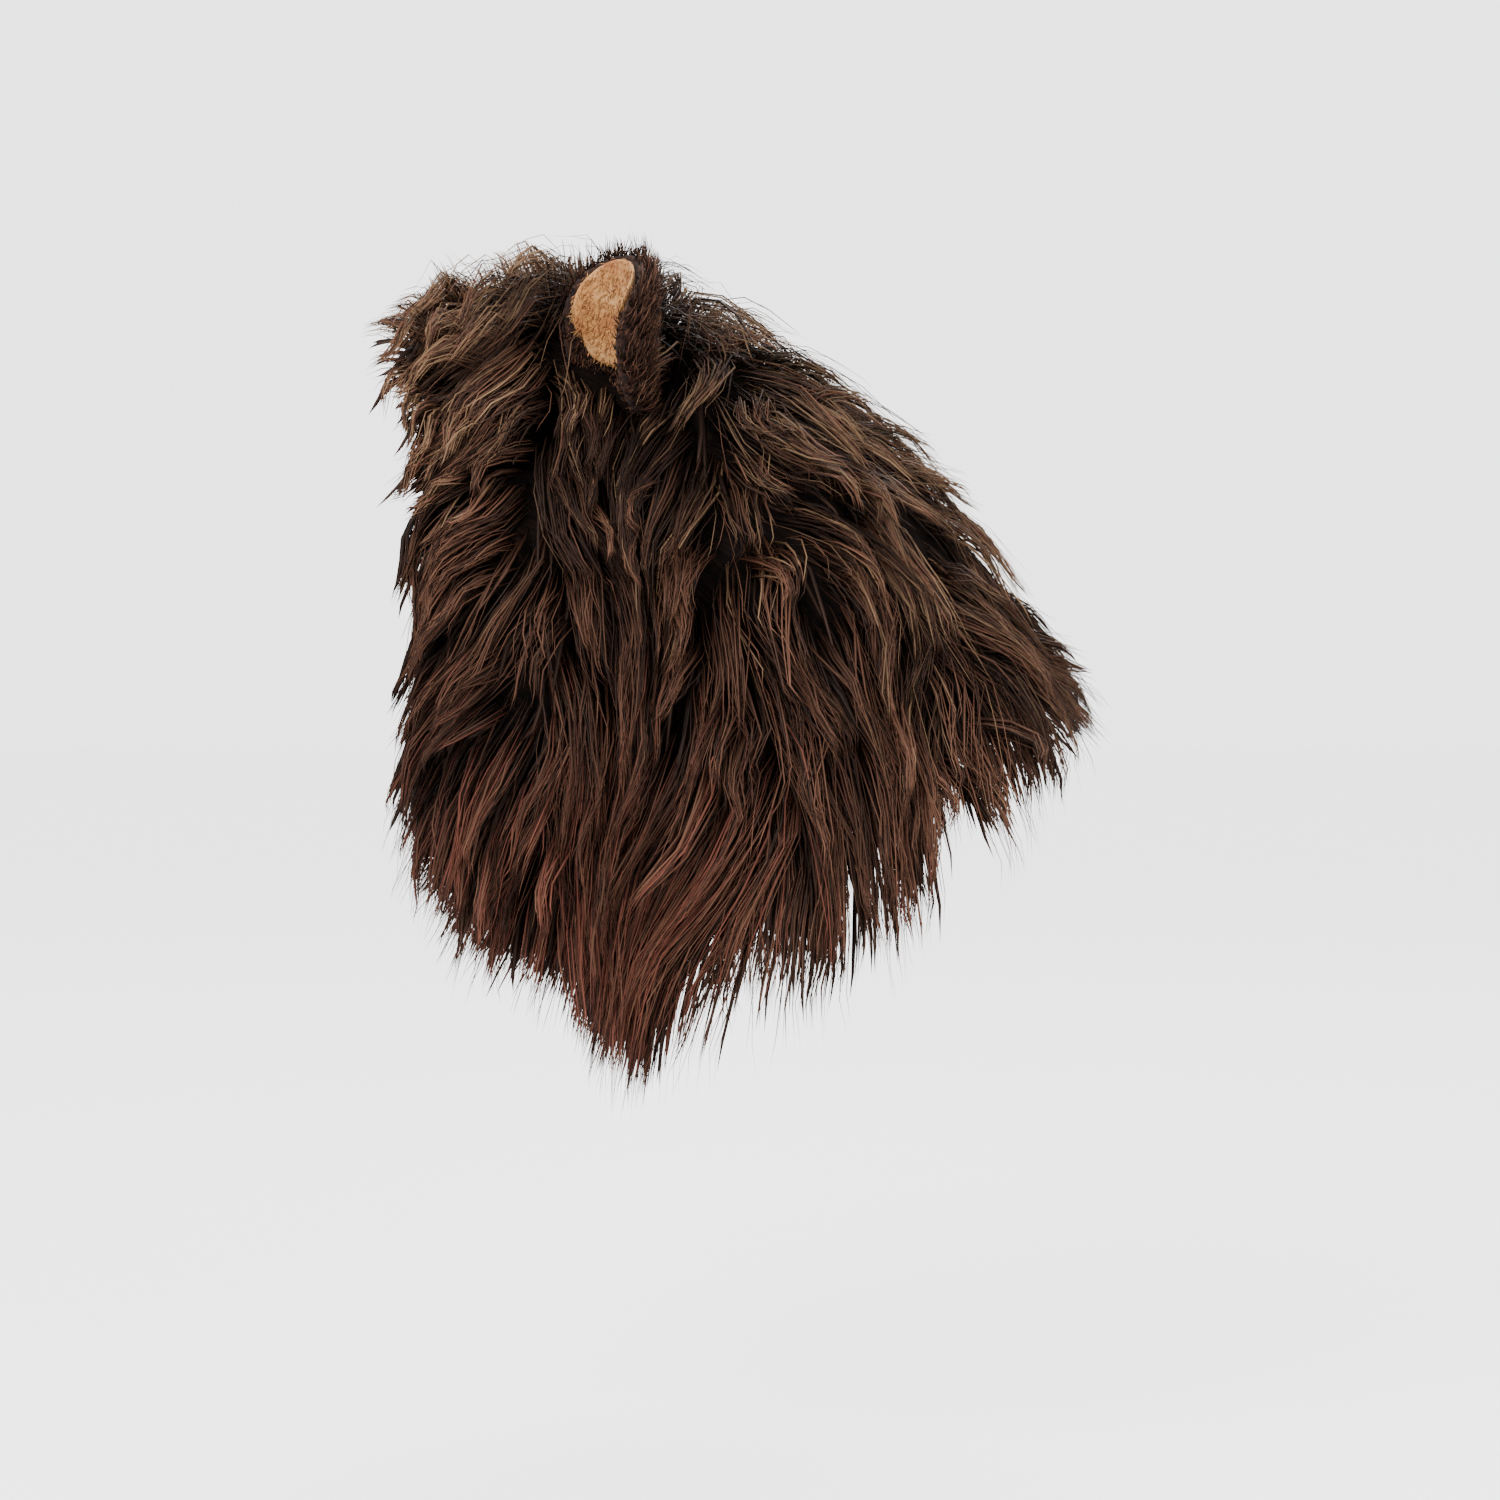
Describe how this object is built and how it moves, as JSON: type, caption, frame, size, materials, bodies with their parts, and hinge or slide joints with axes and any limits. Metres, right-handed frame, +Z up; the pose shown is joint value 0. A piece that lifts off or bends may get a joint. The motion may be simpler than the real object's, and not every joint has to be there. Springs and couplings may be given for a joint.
{
  "type": "pet lion mane wig",
  "caption": "Pull-on costume mane: an open-ended knitted hood covered in long clumped fur that sweeps back and hangs, with cupped plush ears standing at the crown.",
  "frame": {"origin": "the place inside the hood that sits on the crown of the wearer's head", "axes": "+Z up, +X to the wearer's left, -Y the way the wearer faces; modelled as worn, on a raised head"},
  "size_m": [0.3881, 0.4242, 0.4922],
  "materials": {
    "knit": "dark brown knitted cloth",
    "long_fur": "long dark brown synthetic fur",
    "brown_plush": "dark brown plush",
    "tan_plush": "short tan plush"
  },
  "bodies": {
    "root": {"hood_backing": "knit", "mane_fur": "long_fur", "left_ear_shell": "brown_plush", "left_ear_lining": "tan_plush", "right_ear_shell": "brown_plush", "right_ear_lining": "tan_plush"}
  },
  "joints": []
}
